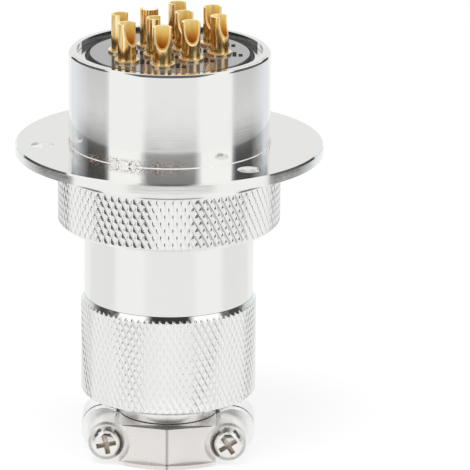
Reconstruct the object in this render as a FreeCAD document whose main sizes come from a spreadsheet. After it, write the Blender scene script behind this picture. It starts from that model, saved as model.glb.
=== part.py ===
import FreeCAD
import Part
import Sketcher
import os

# A mated pair of circular panel connectors, standing upright.
# Millimetres. Z runs up along the axis, towards the solder cups of the panel receptacle.
# Z = 0 is the upper face of the receptacle's flange, and the viewer stands at -Y.

SIZES = {
    # Panel receptacle, one turned shell with a round flange
    "flange_radius": 23.0,
    "flange_thickness": 1.5,
    "flange_edge_chamfer": 0.25,
    "shell_radius": 15.0,
    "shell_wall": 1.2,
    "shell_height": 14.1,
    "shell_rim_chamfer": 0.4,
    "ledge_depth": 3.5,
    "ledge_width": 1.5,
    "mating_wall": 1.7,
    "mating_thread_length": 7.7,
    "thread_end_chamfer": 0.4,
    # Panel screw holes midway across the flange, countersunk from below
    "panel_hole_radius": 1.7,
    "panel_hole_count": 3,
    "panel_hole_turn": 68.5,
    "countersink_depth": 1.1,
    # Key inside the receptacle and its slot in the plug
    "key_width": 2.0,
    "key_height": 0.8,
    "key_root": 0.1,
    "key_length": 9.0,
    "key_top": 2.0,
    "key_clearance": 0.15,
    # Receptacle insulator and the rings that hold it
    "insulator_drop": 0.5,
    "insulator_gap": 1.5,
    "insulator_flange_thickness": 1.4,
    "insulator_fit": 0.1,
    "locking_ring_width": 1.15,
    "locking_ring_height": 1.1,
    "gland_ring_width": 0.65,
    "gland_ring_height": 0.9,
    "ring_fit": 0.05,
    # Ten contacts in three slanting rows of three, four and three
    "contact_edge_margin": 2.4,
    "contact_lattice_angle": 61.39,
    "contact_row_angle": 39.7,
    "contact_fit": 0.05,
    "contact_shank_step": 0.15,
    "contact_collar_width": 0.4,
    "contact_collar_height": 0.35,
    "contact_pin_radius": 1.0,
    "contact_pin_reach": 9.5,
    "contact_tip_chamfer": 0.5,
    "contact_tip_gap": 1.3,
    "socket_clearance": 0.08,
    "socket_wall": 0.37,
    "socket_recess": 0.5,
    # Solder cup: a tube with one side milled away by a round cutter
    "cup_radius": 1.375,
    "cup_wall": 0.275,
    "cup_height": 5.4,
    "cup_bore_depth": 4.0,
    "cup_slot_depth": 3.45,
    "cup_slot_offset": 0.56,
    "cup_cutter_radius": 5.0,
    # Plug shell
    "barrel_radius": 12.7,
    "barrel_wall": 1.4,
    "barrel_length": 11.2,
    "nose_step": 0.7,
    "nose_wall": 1.4,
    "nose_clearance": 0.3,
    "nose_reach": 4.0,
    "nose_chamfer": 0.4,
    "shoulder_step": 0.8,
    "shoulder_thickness": 1.1,
    "seal_thickness": 0.9,
    "seal_gap": 0.1,
    "rear_thread_step": 0.6,
    "rear_thread_length": 7.5,
    # Plug insulator
    "plug_insulator_recess": 0.5,
    "plug_insulator_seat": 8.0,
    "plug_insulator_flange_thickness": 3.0,
    "plug_insulator_boss_step": 1.2,
    "plug_insulator_boss_height": 1.2,
    "plug_locking_ring_height": 1.6,
    # Coupling nut
    "nut_wall": 2.55,
    "nut_band_step": 0.3,
    "nut_band_height": 1.9,
    "nut_edge_chamfer": 0.5,
    "nut_flange_gap": 0.8,
    "nut_lip_thickness": 0.9,
    "running_gap": 0.1,
    # Backshell
    "backshell_wall": 0.96,
    "backshell_length": 15.3,
    "backshell_top_chamfer_height": 0.7,
    "backshell_end_chamfer": 0.4,
    "backshell_end_wall": 1.5,
    "backshell_lip": 2.1,
    "backshell_seat_gap": 0.05,
    # Cable clamp: a rear half on a sleeve, and a front half held by two screws
    "sleeve_fit": 0.2,
    "sleeve_wall": 1.1,
    "sleeve_floor_thickness": 1.0,
    "sleeve_collar_reach": 0.4,
    "cable_bore_radius": 6.0,
    "neck_wall": 1.5,
    "neck_length": 3.2,
    "clamp_block_height": 6.45,
    "clamp_block_wall": 3.8,
    "clamp_parting_gap": 0.5,
    "clamp_side_wall": 1.3,
    "clamp_side_inset": 1.85,
    "clamp_front_slope": 15.0,
    "clamp_lip_height": 0.6,
    "clamp_lip_bulge": 0.3,
    "clamp_ear_wall": 1.9,
    "clamp_ear_inset": 0.06,
    "clamp_ear_depth": 5.0,
    "clamp_ear_foot": 1.35,
    # Two clamp screws
    "clamp_screw_inset": 0.55,
    "clamp_screw_seat": 6.5,
    "clamp_boss_margin": 0.23,
    "clamp_spot_face_margin": 0.78,
    "clamp_screw_clearance": 0.2,
    "clamp_screw_seat_gap": 0.05,
    "clamp_screw_left_turn": 12.0,
    "clamp_screw_right_turn": 33.0,
    "tapped_hole_fit": 0.05,
    "screw_radius": 1.5,
    "screw_length": 11.0,
    "screw_tip_chamfer": 0.4,
    "screw_head_radius": 2.72,
    "screw_head_height": 2.0,
    "screw_head_round": 1.25,
    "screw_recess_width": 0.75,
    "screw_recess_span": 3.0,
    "screw_recess_depth": 1.1,
}

# Radii and spacings across the axis, each worked out from the sizes
RADII = {
    # The plug's nose sets the bore it enters and the thread around that bore
    "nose_radius": "Sizes.barrel_radius - Sizes.nose_step",
    "nose_bore_radius": "nose_radius - Sizes.nose_wall",
    "mating_bore_radius": "nose_radius + Sizes.nose_clearance",
    "mating_thread_radius": "mating_bore_radius + Sizes.mating_wall",
    "nut_thread_radius": "mating_thread_radius + Sizes.running_gap",
    "nut_knurl_radius": "nut_thread_radius + Sizes.nut_wall",
    "nut_band_radius": "nut_knurl_radius - Sizes.nut_band_step",
    "shoulder_radius": "Sizes.barrel_radius + Sizes.shoulder_step",
    # The receptacle's rear bore and what nests in it
    "rear_bore_radius": "Sizes.shell_radius - Sizes.shell_wall",
    "insulator_bore_radius": "rear_bore_radius - Sizes.ledge_width",
    "insulator_flange_radius": "rear_bore_radius - Sizes.insulator_fit",
    "insulator_radius": "insulator_bore_radius - Sizes.insulator_fit",
    "locking_ring_radius": "rear_bore_radius - Sizes.ring_fit",
    "locking_ring_bore_radius": "locking_ring_radius - Sizes.locking_ring_width",
    "gland_ring_radius": "locking_ring_bore_radius - Sizes.ring_fit",
    "gland_ring_bore_radius": "gland_ring_radius - Sizes.gland_ring_width",
    "insulator_disc_radius": "gland_ring_bore_radius - Sizes.ring_fit",
    # Panel holes lie midway between the foot of the flange and its edge
    "flange_foot_radius": "max(Sizes.shell_radius; mating_thread_radius)",
    "flange_width": "Sizes.flange_radius - flange_foot_radius",
    "panel_hole_reach": "flange_foot_radius + flange_width / 2",
    "panel_hole_land": "flange_width / 2 - Sizes.panel_hole_radius",
    "countersink_width": "min(Sizes.countersink_depth; 0.8 * panel_hole_land)",
    # The plug's rear bore and what nests in it
    "rear_cavity_radius": "Sizes.barrel_radius - Sizes.barrel_wall",
    "rear_thread_radius": "Sizes.barrel_radius - Sizes.rear_thread_step",
    "plug_insulator_radius": "nose_bore_radius - Sizes.insulator_fit",
    "plug_insulator_flange_radius": "rear_cavity_radius - Sizes.insulator_fit",
    "plug_insulator_boss_radius": "plug_insulator_flange_radius - Sizes.plug_insulator_boss_step",
    # The outermost contacts lie a margin inside the narrower insulator, 1.5 steps from the middle
    "contact_reach": "min(plug_insulator_radius; insulator_disc_radius) - Sizes.contact_edge_margin",
    "contact_pitch": "contact_reach / 1.5",
    "contact_row_offset": "contact_pitch / 2 * tan(Sizes.contact_lattice_angle)",
    "contact_shank_radius": "Sizes.contact_pin_radius + Sizes.contact_shank_step",
    "contact_hole_radius": "contact_shank_radius + Sizes.contact_fit",
    "socket_bore_radius": "Sizes.contact_pin_radius + Sizes.socket_clearance",
    "socket_radius": "socket_bore_radius + Sizes.socket_wall",
    "contact_collar_radius": "socket_radius + Sizes.contact_collar_width",
    "cup_bore_radius": "Sizes.cup_radius - Sizes.cup_wall",
    # Backshell, and the clamp's sleeve inside it
    "backshell_thread_radius": "rear_thread_radius + Sizes.running_gap",
    "backshell_knurl_radius": "backshell_thread_radius + Sizes.backshell_wall",
    "sleeve_radius": "backshell_thread_radius - Sizes.sleeve_fit",
    "sleeve_bore_radius": "sleeve_radius - Sizes.sleeve_wall",
    "backshell_hole_radius": "sleeve_radius - Sizes.backshell_lip",
    # The clamp is built out from the cable's bore
    "neck_radius": "Sizes.cable_bore_radius + Sizes.neck_wall",
    "clamp_block_radius": "Sizes.cable_bore_radius + Sizes.clamp_block_wall",
    # Its ears end just inside the backshell's outline, and the screws sit in the ears
    "clamp_ear_radius": "Sizes.screw_radius + Sizes.clamp_ear_wall",
    "clamp_ear_reach": "backshell_knurl_radius - Sizes.clamp_ear_inset",
    "clamp_ear_place": "clamp_ear_reach - clamp_ear_radius",
    "clamp_screw_place": "clamp_ear_place - Sizes.clamp_screw_inset",
    # The front half leaves a wall beside the cable and reaches in under the screw heads
    "clamp_side_place": "clamp_screw_place - Sizes.clamp_side_inset",
    "clamp_half_width": "max(clamp_side_place; Sizes.cable_bore_radius + Sizes.clamp_side_wall)",
    "clamp_screw_hole_radius": "Sizes.screw_radius + Sizes.clamp_screw_clearance",
    "clamp_boss_radius": "Sizes.screw_head_radius + Sizes.clamp_boss_margin",
    "clamp_spot_face_radius": "Sizes.screw_head_radius + Sizes.clamp_spot_face_margin",
}

# Heights along the axis, each worked out from the sizes
LEVELS = {
    "flange_bottom": "-Sizes.flange_thickness",
    "mouth": "flange_bottom - Sizes.mating_thread_length",
    "ledge": "Sizes.shell_height - Sizes.ledge_depth",
    "insulator_shoulder": "ledge + Sizes.insulator_flange_thickness",
    "insulator_top": "Sizes.shell_height - Sizes.insulator_drop",
    "insulator_face": "Sizes.nose_reach + Sizes.insulator_gap",
    "mating_bore_end": "Sizes.nose_reach + Sizes.insulator_gap / 2",
    "pin_tip": "insulator_face - Sizes.contact_pin_reach",
    "shoulder_top": "mouth - Sizes.seal_gap - Sizes.seal_thickness",
    "shoulder_bottom": "shoulder_top - Sizes.shoulder_thickness",
    "nut_lip_top": "shoulder_bottom - Sizes.running_gap",
    "nut_end": "nut_lip_top - Sizes.nut_lip_thickness",
    "nut_top": "flange_bottom - Sizes.nut_flange_gap",
    "nut_knurl_top": "nut_top - Sizes.nut_band_height",
    "barrel_end": "nut_end - Sizes.barrel_length",
    "rear_end": "barrel_end - Sizes.rear_thread_length",
    "plug_face": "Sizes.nose_reach - Sizes.plug_insulator_recess",
    "plug_seat": "-Sizes.plug_insulator_seat",
    "plug_shoulder": "plug_seat - Sizes.plug_insulator_flange_thickness",
    "plug_back": "plug_shoulder - Sizes.plug_insulator_boss_height",
    "backshell_top": "barrel_end - Sizes.backshell_seat_gap",
    "backshell_knurl_top": "backshell_top - Sizes.backshell_top_chamfer_height",
    "backshell_end": "backshell_top - Sizes.backshell_length",
    "backshell_wall_top": "backshell_end + Sizes.backshell_end_wall",
    "sleeve_top": "rear_end - Sizes.running_gap",
    "sleeve_bottom": "backshell_wall_top + Sizes.running_gap",
    "collar_bottom": "backshell_end - Sizes.sleeve_collar_reach",
    "neck_bottom": "backshell_end - Sizes.neck_length",
    "base": "neck_bottom - Sizes.clamp_block_height",
    "screw_level": "base + Radii.clamp_ear_radius",
}

# Each contact: its row, its step along the row, and how far its cup's open side
# is turned from the viewer towards +X, in degrees
CONTACTS = [
    (1, -1.0, 62.0),
    (1, 0.0, 180.0),
    (1, 1.0, 45.0),
    (0, -1.5, 50.0),
    (0, -0.5, 85.0),
    (0, 0.5, 20.0),
    (0, 1.5, 12.0),
    (-1, -1.0, 0.0),
    (-1, 0.0, 12.0),
    (-1, 1.0, 64.0),
]

doc = FreeCAD.newDocument("circular_connector")


def fill_sheet(name, cells):
    """A spreadsheet with one named value on each row."""
    sheet = doc.addObject("Spreadsheet::Sheet", name)
    for row, (alias, content) in enumerate(cells.items(), start=1):
        sheet.set(f"A{row}", alias)
        sheet.set(f"B{row}", str(content))
        sheet.setAlias(f"B{row}", alias)
    doc.recompute()
    return sheet


sizes = fill_sheet("Sizes", SIZES)
radii = fill_sheet("Radii", {alias: "=" + formula for alias, formula in RADII.items()})
levels = fill_sheet("Levels", {alias: "=" + formula for alias, formula in LEVELS.items()})


def value(expression):
    """The number that an expression on the sheets gives."""
    result = levels.evalExpression(expression)
    return float(getattr(result, "Value", result))


def new_body(name):
    """A body whose label is the name of the finished piece."""
    body = doc.addObject("PartDesign::Body", name)
    body.Label = name
    return body


def new_sketch(body, name, plane, offset=None):
    """A sketch on one of the body's own origin planes, moved along its normal by offset."""
    sketch = body.newObject("Sketcher::SketchObject", f"{body.Name}_{name}")
    support = next(f for f in body.Origin.OriginFeatures if f.Role == plane)
    sketch.AttachmentSupport = (support, [""])
    sketch.MapMode = "FlatFace"
    if offset is not None:
        sketch.setExpression(".AttachmentOffset.Base.z", offset)
    return sketch


def fix_point(sketch, geometry, vertex, across, up):
    """Hold a point at the place that two expressions give."""
    for kind, axis, expression in (("DistanceX", -2, across), ("DistanceY", -1, up)):
        distance = value(expression)
        if abs(distance) < 1e-9:
            sketch.addConstraint(Sketcher.Constraint("PointOnObject", geometry, vertex, axis))
            continue
        number = sketch.addConstraint(
            Sketcher.Constraint(kind, -1, 1, geometry, vertex, distance)
        )
        sketch.setExpression(f"Constraints[{number}]", expression)


def add_outline(sketch, corners):
    """A closed outline of straight edges through corners, each a pair of expressions."""
    points = [FreeCAD.Vector(value(across), value(up), 0) for across, up in corners]
    first = sketch.GeometryCount
    count = len(corners)
    for number, point in enumerate(points):
        sketch.addGeometry(Part.LineSegment(point, points[(number + 1) % count]), False)
    for number, (across, up) in enumerate(corners):
        following = first + (number + 1) % count
        sketch.addConstraint(
            Sketcher.Constraint("Coincident", first + number, 2, following, 1)
        )
        fix_point(sketch, first + number, 1, across, up)


def add_circle(sketch, across, up, radius):
    """A circle whose centre and radius are expressions."""
    centre = FreeCAD.Vector(value(across), value(up), 0)
    circle = Part.Circle(centre, FreeCAD.Vector(0, 0, 1), value(radius))
    geometry = sketch.addGeometry(circle, False)
    fix_point(sketch, geometry, 3, across, up)
    number = sketch.addConstraint(Sketcher.Constraint("Radius", geometry, value(radius)))
    sketch.setExpression(f"Constraints[{number}]", radius)


def revolve(body, corners):
    """Turn a profile of (radius, height) corners about the body's Z axis."""
    sketch = new_sketch(body, "profile", "XZ_Plane")
    add_outline(sketch, corners)
    turned = body.newObject("PartDesign::Revolution", f"{body.Name}_turned")
    turned.Profile = sketch
    turned.ReferenceAxis = (sketch, ["V_Axis"])
    turned.Angle = 360
    doc.recompute()
    return turned


def extrude(body, name, kind, sketch, length, backwards=False):
    """Pad or pocket a sketch. A pad goes along its normal and a pocket against it."""
    before = body.Shape.Volume if body.Tip else 0
    feature = body.newObject(f"PartDesign::{kind}", f"{body.Name}_{name}")
    feature.Profile = sketch
    feature.Type = "Length"
    feature.Reversed = backwards
    feature.setExpression("Length", length)
    doc.recompute()
    change = body.Shape.Volume - before
    if (change > 0) != (kind == "Pad") or abs(change) < 1e-4:
        raise RuntimeError(f"{body.Label}: {name} changes nothing")
    return feature


def edges_on_circle(shape, radius, coordinate, position):
    """Names of a shape's circular edges of one radius whose centres share a coordinate."""
    names = []
    for number, edge in enumerate(shape.Edges, start=1):
        if not isinstance(edge.Curve, Part.Circle):
            continue
        same_radius = abs(edge.Curve.Radius - radius) < 1e-5
        if same_radius and abs(getattr(edge.Curve.Center, coordinate) - position) < 1e-5:
            names.append(f"Edge{number}")
    return names


def contact_place(row, step):
    """Expressions for a contact's place across the insulator."""
    along = f"{step} * Radii.contact_pitch"
    aside = f"{row} * Radii.contact_row_offset"
    turn = "Sizes.contact_row_angle"
    across = f"{along} * cos({turn}) - {aside} * sin({turn})"
    deep = f"{along} * sin({turn}) + {aside} * cos({turn})"
    return across, deep


# Receptacle shell

def receptacle_shell():
    body = new_body("receptacle_shell")
    revolve(body, [
        ("Radii.mating_bore_radius", "Levels.mouth"),
        ("Radii.mating_thread_radius - Sizes.thread_end_chamfer", "Levels.mouth"),
        ("Radii.mating_thread_radius", "Levels.mouth + Sizes.thread_end_chamfer"),
        ("Radii.mating_thread_radius", "Levels.flange_bottom"),
        ("Sizes.flange_radius", "Levels.flange_bottom"),
        ("Sizes.flange_radius", "-Sizes.flange_edge_chamfer"),
        ("Sizes.flange_radius - Sizes.flange_edge_chamfer", "0"),
        ("Sizes.shell_radius", "0"),
        ("Sizes.shell_radius", "Sizes.shell_height - Sizes.shell_rim_chamfer"),
        ("Sizes.shell_radius - Sizes.shell_rim_chamfer", "Sizes.shell_height"),
        ("Radii.rear_bore_radius", "Sizes.shell_height"),
        ("Radii.rear_bore_radius", "Levels.ledge"),
        ("Radii.insulator_bore_radius", "Levels.ledge"),
        ("Radii.insulator_bore_radius", "Levels.insulator_face"),
        ("Radii.mating_bore_radius", "Levels.mating_bore_end"),
    ])
    half = "Sizes.key_width / 2"
    inner = "Radii.mating_bore_radius - Sizes.key_height"
    root = "Radii.mating_bore_radius + Sizes.key_root"
    key = new_sketch(body, "key_outline", "XY_Plane", "Sizes.key_top - Sizes.key_length")
    add_outline(key, [
        (f"-{half}", inner),
        (half, inner),
        (half, root),
        (f"-{half}", root),
    ])
    extrude(body, "key", "Pad", key, "Sizes.key_length")
    hole = new_sketch(body, "hole_outline", "XY_Plane")
    add_circle(
        hole,
        "Radii.panel_hole_reach * cos(Sizes.panel_hole_turn)",
        "Radii.panel_hole_reach * sin(Sizes.panel_hole_turn)",
        "Sizes.panel_hole_radius",
    )
    drilled = extrude(body, "hole", "Pocket", hole, "2 * Sizes.flange_thickness")
    pattern = body.newObject("PartDesign::PolarPattern", "receptacle_shell_holes")
    pattern.Originals = [drilled]
    pattern.Axis = (hole, ["N_Axis"])
    pattern.Angle = 360
    pattern.setExpression("Occurrences", "Sizes.panel_hole_count")
    body.Tip = pattern
    doc.recompute()
    sink = body.newObject("PartDesign::Chamfer", "receptacle_shell_countersinks")
    rims = edges_on_circle(
        body.Shape, value("Sizes.panel_hole_radius"), "z", value("Levels.flange_bottom")
    )
    sink.Base = (pattern, rims)
    sink.setExpression("Size", "Radii.countersink_width")
    doc.recompute()
    return body


# Insulators, with a hole for each contact

def drill_contact_holes(body, top, depth, radius):
    """A hole through the insulator at each contact's place."""
    holes = new_sketch(body, "contact_holes", "XY_Plane", top)
    for row, step, _ in CONTACTS:
        across, deep = contact_place(row, step)
        add_circle(holes, across, deep, radius)
    extrude(body, "contact_hole_cut", "Pocket", holes, depth)


def receptacle_insulator():
    body = new_body("receptacle_insulator")
    fitted = "Radii.insulator_radius"
    flange = "Radii.insulator_flange_radius"
    revolve(body, [
        ("0", "Levels.insulator_face"),
        (fitted, "Levels.insulator_face"),
        (fitted, "Levels.ledge"),
        (flange, "Levels.ledge"),
        (flange, "Levels.insulator_shoulder"),
        ("Radii.insulator_disc_radius", "Levels.insulator_shoulder"),
        ("Radii.insulator_disc_radius", "Levels.insulator_top"),
        ("0", "Levels.insulator_top"),
    ])
    depth = "Levels.insulator_top - Levels.insulator_face"
    drill_contact_holes(body, "Levels.insulator_top", depth, "Radii.contact_hole_radius")
    return body


def plug_insulator():
    body = new_body("plug_insulator")
    fitted = "Radii.plug_insulator_radius"
    flange = "Radii.plug_insulator_flange_radius"
    revolve(body, [
        ("0", "Levels.plug_back"),
        ("Radii.plug_insulator_boss_radius", "Levels.plug_back"),
        ("Radii.plug_insulator_boss_radius", "Levels.plug_shoulder"),
        (flange, "Levels.plug_shoulder"),
        (flange, "Levels.plug_seat"),
        (fitted, "Levels.plug_seat"),
        (fitted, "Levels.plug_face"),
        ("0", "Levels.plug_face"),
    ])
    depth = "Levels.plug_face - Levels.plug_back"
    radius = "Radii.socket_radius + Sizes.contact_fit"
    drill_contact_holes(body, "Levels.plug_face", depth, radius)
    return body


def plain_ring(name, inner, outer, bottom, top):
    """A ring of rectangular section."""
    body = new_body(name)
    revolve(body, [(inner, bottom), (outer, bottom), (outer, top), (inner, top)])
    return body


# Contacts. Each is made with its collar's seat at Z = 0 and its solder cup upwards.

def mill_cup(body):
    """Cut one side of the solder cup away, as deep as its slot, with a round cutter."""
    top = "Sizes.contact_collar_height + Sizes.cup_height"
    bite = "(Sizes.cup_radius - Sizes.cup_slot_offset)"
    rise = f"sqrt({bite} * (2 * Sizes.cup_cutter_radius - {bite}))"
    centre = f"{top} - Sizes.cup_slot_depth + {rise}"
    width = "2 * Sizes.cup_cutter_radius"
    cutter = new_sketch(body, "cutter", "YZ_Plane", "-Sizes.cup_radius")
    add_circle(
        cutter,
        "-Sizes.cup_slot_offset - Sizes.cup_cutter_radius",
        centre,
        "Sizes.cup_cutter_radius",
    )
    extrude(body, "slot_foot", "Pocket", cutter, "2 * Sizes.cup_radius", True)
    side = new_sketch(body, "side", "YZ_Plane", "-Sizes.cup_radius")
    add_outline(side, [
        ("-Sizes.cup_slot_offset", centre),
        ("-Sizes.cup_slot_offset", f"{top} + Sizes.cup_radius"),
        (f"-{width}", f"{top} + Sizes.cup_radius"),
        (f"-{width}", centre),
    ])
    extrude(body, "slot_side", "Pocket", side, "2 * Sizes.cup_radius", True)


def contact(name, front, place, seat, turn, upside_down):
    """One contact: front gives the corners of its mating end, from the axis to the collar."""
    body = new_body(name)
    collar = "Sizes.contact_collar_height"
    top = f"{collar} + Sizes.cup_height"
    bore_end = f"{top} - Sizes.cup_bore_depth"
    revolve(body, front + [
        ("Radii.contact_collar_radius", "0"),
        ("Radii.contact_collar_radius", collar),
        ("Sizes.cup_radius", collar),
        ("Sizes.cup_radius", top),
        ("Radii.cup_bore_radius", top),
        ("Radii.cup_bore_radius", bore_end),
        ("0", f"{bore_end} - Radii.cup_bore_radius / 2"),
    ])
    mill_cup(body)
    flip = FreeCAD.Rotation(FreeCAD.Vector(1, 0, 0), 180 if upside_down else 0)
    spin = FreeCAD.Rotation(FreeCAD.Vector(0, 0, 1), turn)
    body.Placement = FreeCAD.Placement(FreeCAD.Vector(0, 0, 0), spin * flip)
    across, deep = place
    body.setExpression(".Placement.Base.x", across)
    body.setExpression(".Placement.Base.y", deep)
    body.setExpression(".Placement.Base.z", seat)
    return body


def pin_front():
    """Mating end of a pin, from its tip up through the insulator."""
    body_length = "(Levels.insulator_top - Levels.insulator_face)"
    tip = f"-{body_length} - Sizes.contact_pin_reach"
    shank = "Radii.contact_shank_radius"
    narrow = "Sizes.contact_pin_radius - Sizes.contact_tip_chamfer"
    return [
        ("0", tip),
        (narrow, tip),
        ("Sizes.contact_pin_radius", f"{tip} + Sizes.contact_tip_chamfer"),
        ("Sizes.contact_pin_radius", f"-{body_length}"),
        (shank, f"-{body_length}"),
        (shank, "0"),
    ]


def socket_front():
    """Mating end of a socket: a tube that starts just inside the insulator's face."""
    body_length = "(Levels.plug_face - Levels.plug_back)"
    mouth = f"-{body_length} + Sizes.socket_recess"
    bore_end = "Levels.plug_back - Levels.pin_tip + Sizes.contact_tip_gap"
    return [
        ("0", bore_end),
        ("Radii.socket_bore_radius", bore_end),
        ("Radii.socket_bore_radius", mouth),
        ("Radii.socket_radius", mouth),
        ("Radii.socket_radius", "0"),
    ]


def contacts():
    made = []
    for number, (row, step, turn) in enumerate(CONTACTS, start=1):
        place = contact_place(row, step)
        pin = contact(
            f"contact_pin_{number:02d}", pin_front(), place, "Levels.insulator_top", turn, False
        )
        socket = contact(
            f"contact_socket_{number:02d}", socket_front(), place, "Levels.plug_back", turn, True
        )
        made += [pin, socket]
    return made


# Plug shell

def plug_barrel():
    body = new_body("plug_barrel")
    revolve(body, [
        ("Radii.nose_bore_radius", "Sizes.nose_reach"),
        ("Radii.nose_bore_radius", "Levels.plug_seat"),
        ("Radii.rear_cavity_radius", "Levels.plug_seat"),
        ("Radii.rear_cavity_radius", "Levels.rear_end"),
        ("Radii.rear_thread_radius - Sizes.thread_end_chamfer", "Levels.rear_end"),
        ("Radii.rear_thread_radius", "Levels.rear_end + Sizes.thread_end_chamfer"),
        ("Radii.rear_thread_radius", "Levels.barrel_end"),
        ("Sizes.barrel_radius", "Levels.barrel_end"),
        ("Sizes.barrel_radius", "Levels.shoulder_bottom"),
        ("Radii.shoulder_radius", "Levels.shoulder_bottom"),
        ("Radii.shoulder_radius", "Levels.shoulder_top"),
        ("Radii.nose_radius", "Levels.shoulder_top"),
        ("Radii.nose_radius", "Sizes.nose_reach - Sizes.nose_chamfer"),
        ("Radii.nose_radius - Sizes.nose_chamfer", "Sizes.nose_reach"),
    ])
    half = "(Sizes.key_width / 2 + Sizes.key_clearance)"
    floor = "Radii.mating_bore_radius - Sizes.key_height - Sizes.key_clearance"
    outside = "Radii.nose_radius + Sizes.key_height"
    slot = new_sketch(body, "key_slot_outline", "XY_Plane", "Sizes.nose_reach")
    add_outline(slot, [
        (f"-{half}", floor),
        (half, floor),
        (half, outside),
        (f"-{half}", outside),
    ])
    key_end = "Sizes.key_length - Sizes.key_top + Sizes.key_clearance"
    extrude(body, "key_slot", "Pocket", slot, f"Sizes.nose_reach + {key_end}")
    return body


# Coupling nut

def coupling_nut():
    body = new_body("coupling_nut")
    lip_bore = "Sizes.barrel_radius + Sizes.running_gap"
    thread_bore = "Radii.nut_thread_radius"
    edge = "Sizes.nut_edge_chamfer"
    revolve(body, [
        (lip_bore, "Levels.nut_end"),
        (f"Radii.nut_knurl_radius - {edge}", "Levels.nut_end"),
        ("Radii.nut_knurl_radius", f"Levels.nut_end + {edge}"),
        ("Radii.nut_knurl_radius", "Levels.nut_knurl_top"),
        ("Radii.nut_band_radius", "Levels.nut_knurl_top"),
        ("Radii.nut_band_radius", f"Levels.nut_top - {edge}"),
        (f"Radii.nut_band_radius - {edge}", "Levels.nut_top"),
        (thread_bore, "Levels.nut_top"),
        (thread_bore, "Levels.nut_lip_top"),
        (lip_bore, "Levels.nut_lip_top"),
    ])
    return body


# Backshell

def backshell():
    body = new_body("backshell")
    thread_bore = "Radii.backshell_thread_radius"
    edge = "Sizes.backshell_end_chamfer"
    revolve(body, [
        ("Radii.backshell_hole_radius", "Levels.backshell_end"),
        (f"Radii.backshell_knurl_radius - {edge}", "Levels.backshell_end"),
        ("Radii.backshell_knurl_radius", f"Levels.backshell_end + {edge}"),
        ("Radii.backshell_knurl_radius", "Levels.backshell_knurl_top"),
        ("Sizes.barrel_radius", "Levels.backshell_top"),
        (thread_bore, "Levels.backshell_top"),
        (thread_bore, "Levels.backshell_wall_top"),
        ("Radii.backshell_hole_radius", "Levels.backshell_wall_top"),
    ])
    return body


# Cable clamp

def add_pair(sketch, place, level, radius):
    """Two circles at one level, each as far from the middle as place."""
    for side in (-1, 1):
        add_circle(sketch, f"{side} * {place}", level, radius)


def clamp_half_rear():
    body = new_body("clamp_half_rear")
    collar = "Radii.backshell_hole_radius - Sizes.running_gap"
    revolve(body, [
        ("Sizes.cable_bore_radius", "Levels.neck_bottom"),
        ("Radii.neck_radius", "Levels.neck_bottom"),
        ("Radii.neck_radius", "Levels.collar_bottom"),
        (collar, "Levels.collar_bottom"),
        (collar, "Levels.sleeve_bottom"),
        ("Radii.sleeve_radius", "Levels.sleeve_bottom"),
        ("Radii.sleeve_radius", "Levels.sleeve_top"),
        ("Radii.sleeve_bore_radius", "Levels.sleeve_top"),
        ("Radii.sleeve_bore_radius", "Levels.sleeve_bottom + Sizes.sleeve_floor_thickness"),
        ("Sizes.cable_bore_radius", "Levels.sleeve_bottom + Sizes.sleeve_floor_thickness"),
    ])
    parting = "Sizes.clamp_parting_gap / 2"
    ring = new_sketch(body, "block_outline", "XY_Plane", "Levels.base")
    add_circle(ring, "0", "0", "Radii.clamp_block_radius")
    add_circle(ring, "0", "0", "Sizes.cable_bore_radius")
    extrude(body, "block", "Pad", ring, "Sizes.clamp_block_height")
    front = new_sketch(body, "front_outline", "XY_Plane", "Levels.neck_bottom")
    wide = "2 * Radii.clamp_block_radius"
    add_outline(front, [
        (f"-{wide}", f"-{wide}"),
        (wide, f"-{wide}"),
        (wide, parting),
        (f"-{wide}", parting),
    ])
    extrude(body, "front_cut", "Pocket", front, "2 * Sizes.clamp_block_height")
    ears = new_sketch(body, "ear_outline", "XZ_Plane", f"-{parting}")
    add_pair(ears, "Radii.clamp_ear_place", "Levels.screw_level", "Radii.clamp_ear_radius")
    extrude(body, "ears", "Pad", ears, "Sizes.clamp_ear_depth", True)
    taps = new_sketch(body, "tap_outline", "XZ_Plane", f"-{parting}")
    tapped = "Sizes.screw_radius + Sizes.tapped_hole_fit"
    add_pair(taps, "Radii.clamp_screw_place", "Levels.screw_level", tapped)
    extrude(body, "taps", "Pocket", taps, "2 * Sizes.clamp_ear_depth")
    return body


def add_lip(sketch, half, corner, radius):
    """A round segment below the chord between the outer corners of the front facets."""
    left = FreeCAD.Vector(-value(half), -value(corner), 0)
    right = FreeCAD.Vector(value(half), -value(corner), 0)
    middle = (value(radius) ** 2 - value(half) ** 2) ** 0.5 - value(corner)
    lowest = FreeCAD.Vector(0, middle - value(radius), 0)
    arc = sketch.addGeometry(Part.Arc(left, lowest, right), False)
    chord = sketch.addGeometry(Part.LineSegment(right, left), False)
    sketch.addConstraint(Sketcher.Constraint("Coincident", arc, 2, chord, 1))
    sketch.addConstraint(Sketcher.Constraint("Coincident", chord, 2, arc, 1))
    fix_point(sketch, chord, 1, half, f"-{corner}")
    fix_point(sketch, chord, 2, f"-{half}", f"-{corner}")
    number = sketch.addConstraint(Sketcher.Constraint("Radius", arc, value(radius)))
    sketch.setExpression(f"Constraints[{number}]", radius)


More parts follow.
